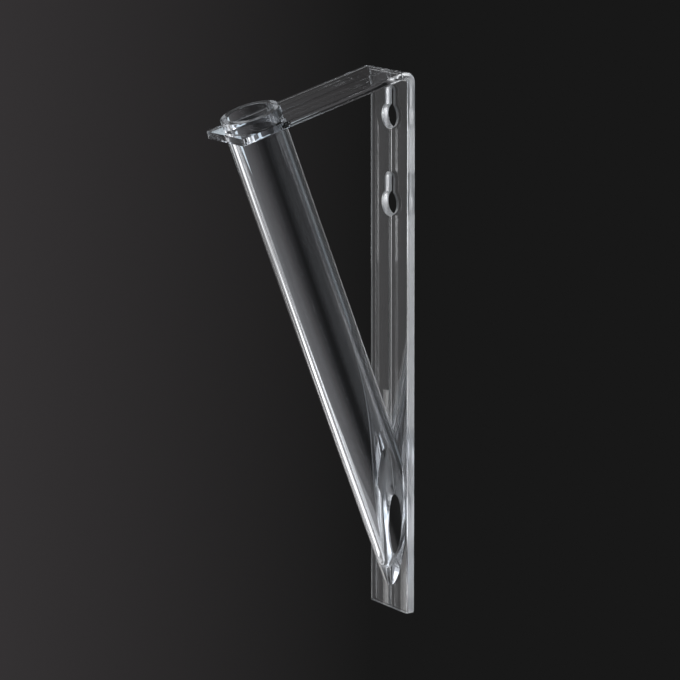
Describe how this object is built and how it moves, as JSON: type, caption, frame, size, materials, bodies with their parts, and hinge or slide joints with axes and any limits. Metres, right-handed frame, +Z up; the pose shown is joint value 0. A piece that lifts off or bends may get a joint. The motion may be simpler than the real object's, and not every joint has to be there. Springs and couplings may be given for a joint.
{
  "type": "wall flower holder",
  "caption": "Clear wall-mounted flower holder: a bent wall strip with keyholes carries a leaning tube, mitred to the strip at its foot, where an oval opening leads through the strip, and open at the top.",
  "frame": {"origin": "centre of the upper keyhole's round part, on the wall plane (the strip's wall side)", "axes": "+Z up the wall, +Y into the wall, so the tube leans out towards -Y, and +X to the right as seen from the room"},
  "size_m": [0.0344, 0.0995, 0.277],
  "materials": {
    "strip_plastic": "clear polished acrylic",
    "tube_plastic": "clear polished acrylic"
  },
  "bodies": {
    "root": {"wall_strip": "strip_plastic", "flower_tube": "tube_plastic"}
  },
  "joints": []
}
